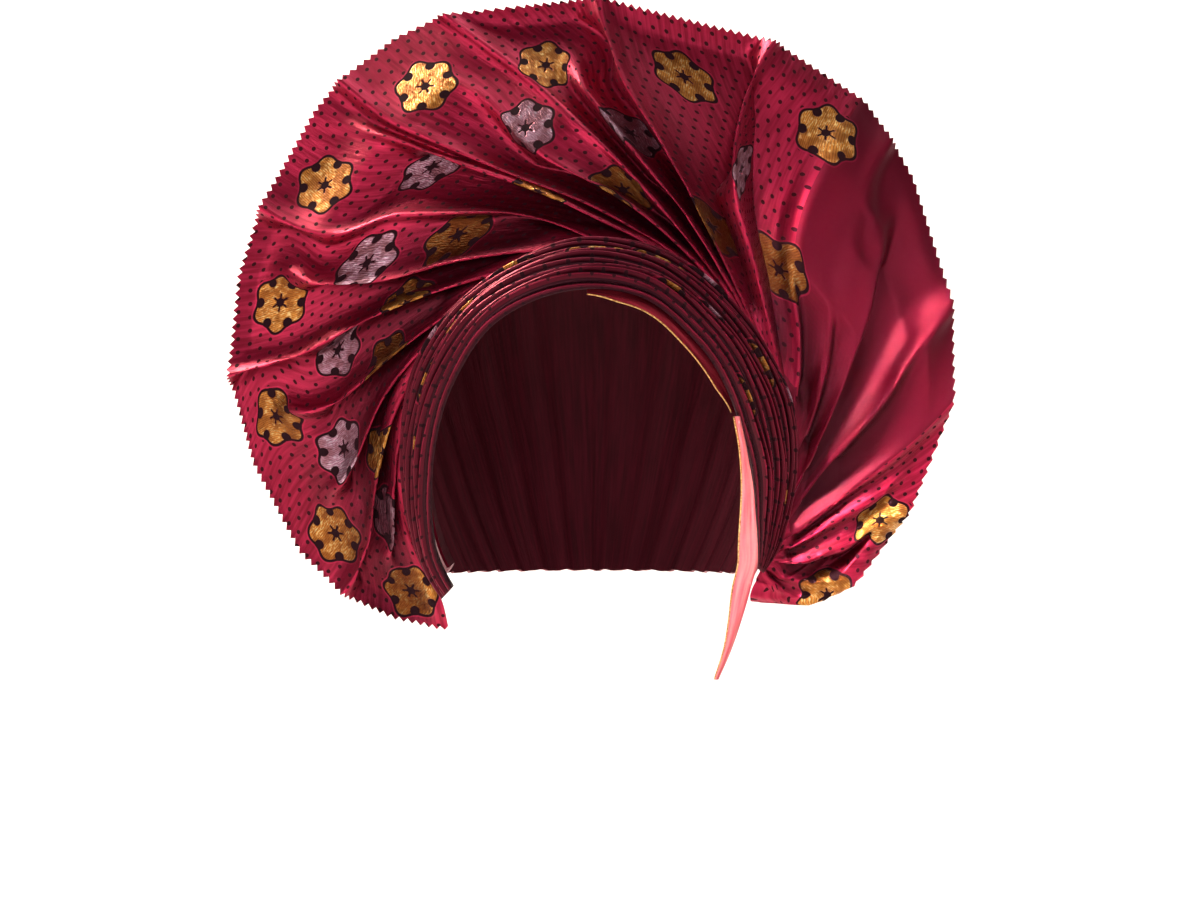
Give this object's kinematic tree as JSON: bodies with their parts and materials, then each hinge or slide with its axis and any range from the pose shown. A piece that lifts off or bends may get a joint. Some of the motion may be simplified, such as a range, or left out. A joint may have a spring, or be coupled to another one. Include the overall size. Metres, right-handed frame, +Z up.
{
  "type": "pre-tied head tie",
  "caption": "Wearable head tie with a pleated band round the face, a wide pinked fan of swirled folds, a plain crown cap and one hanging end.",
  "frame": {"origin": "middle of the head opening at brow height, where the head sits", "axes": "+X to the viewer's right, -Y out of the face opening, +Z up"},
  "size_m": [0.2994, 0.1822, 0.2754],
  "materials": {
    "brocade": "crimson metallic brocade with dark pin dots and gold and silver-pink florets",
    "plain_cloth": "plain crimson taffeta",
    "edged_cloth": "crimson taffeta with a gold selvedge"
  },
  "bodies": {
    "root": {"front_band": "brocade", "fan": "brocade", "crown_cap": "plain_cloth", "under_wrap": "edged_cloth", "side_tail": "edged_cloth"}
  },
  "joints": []
}
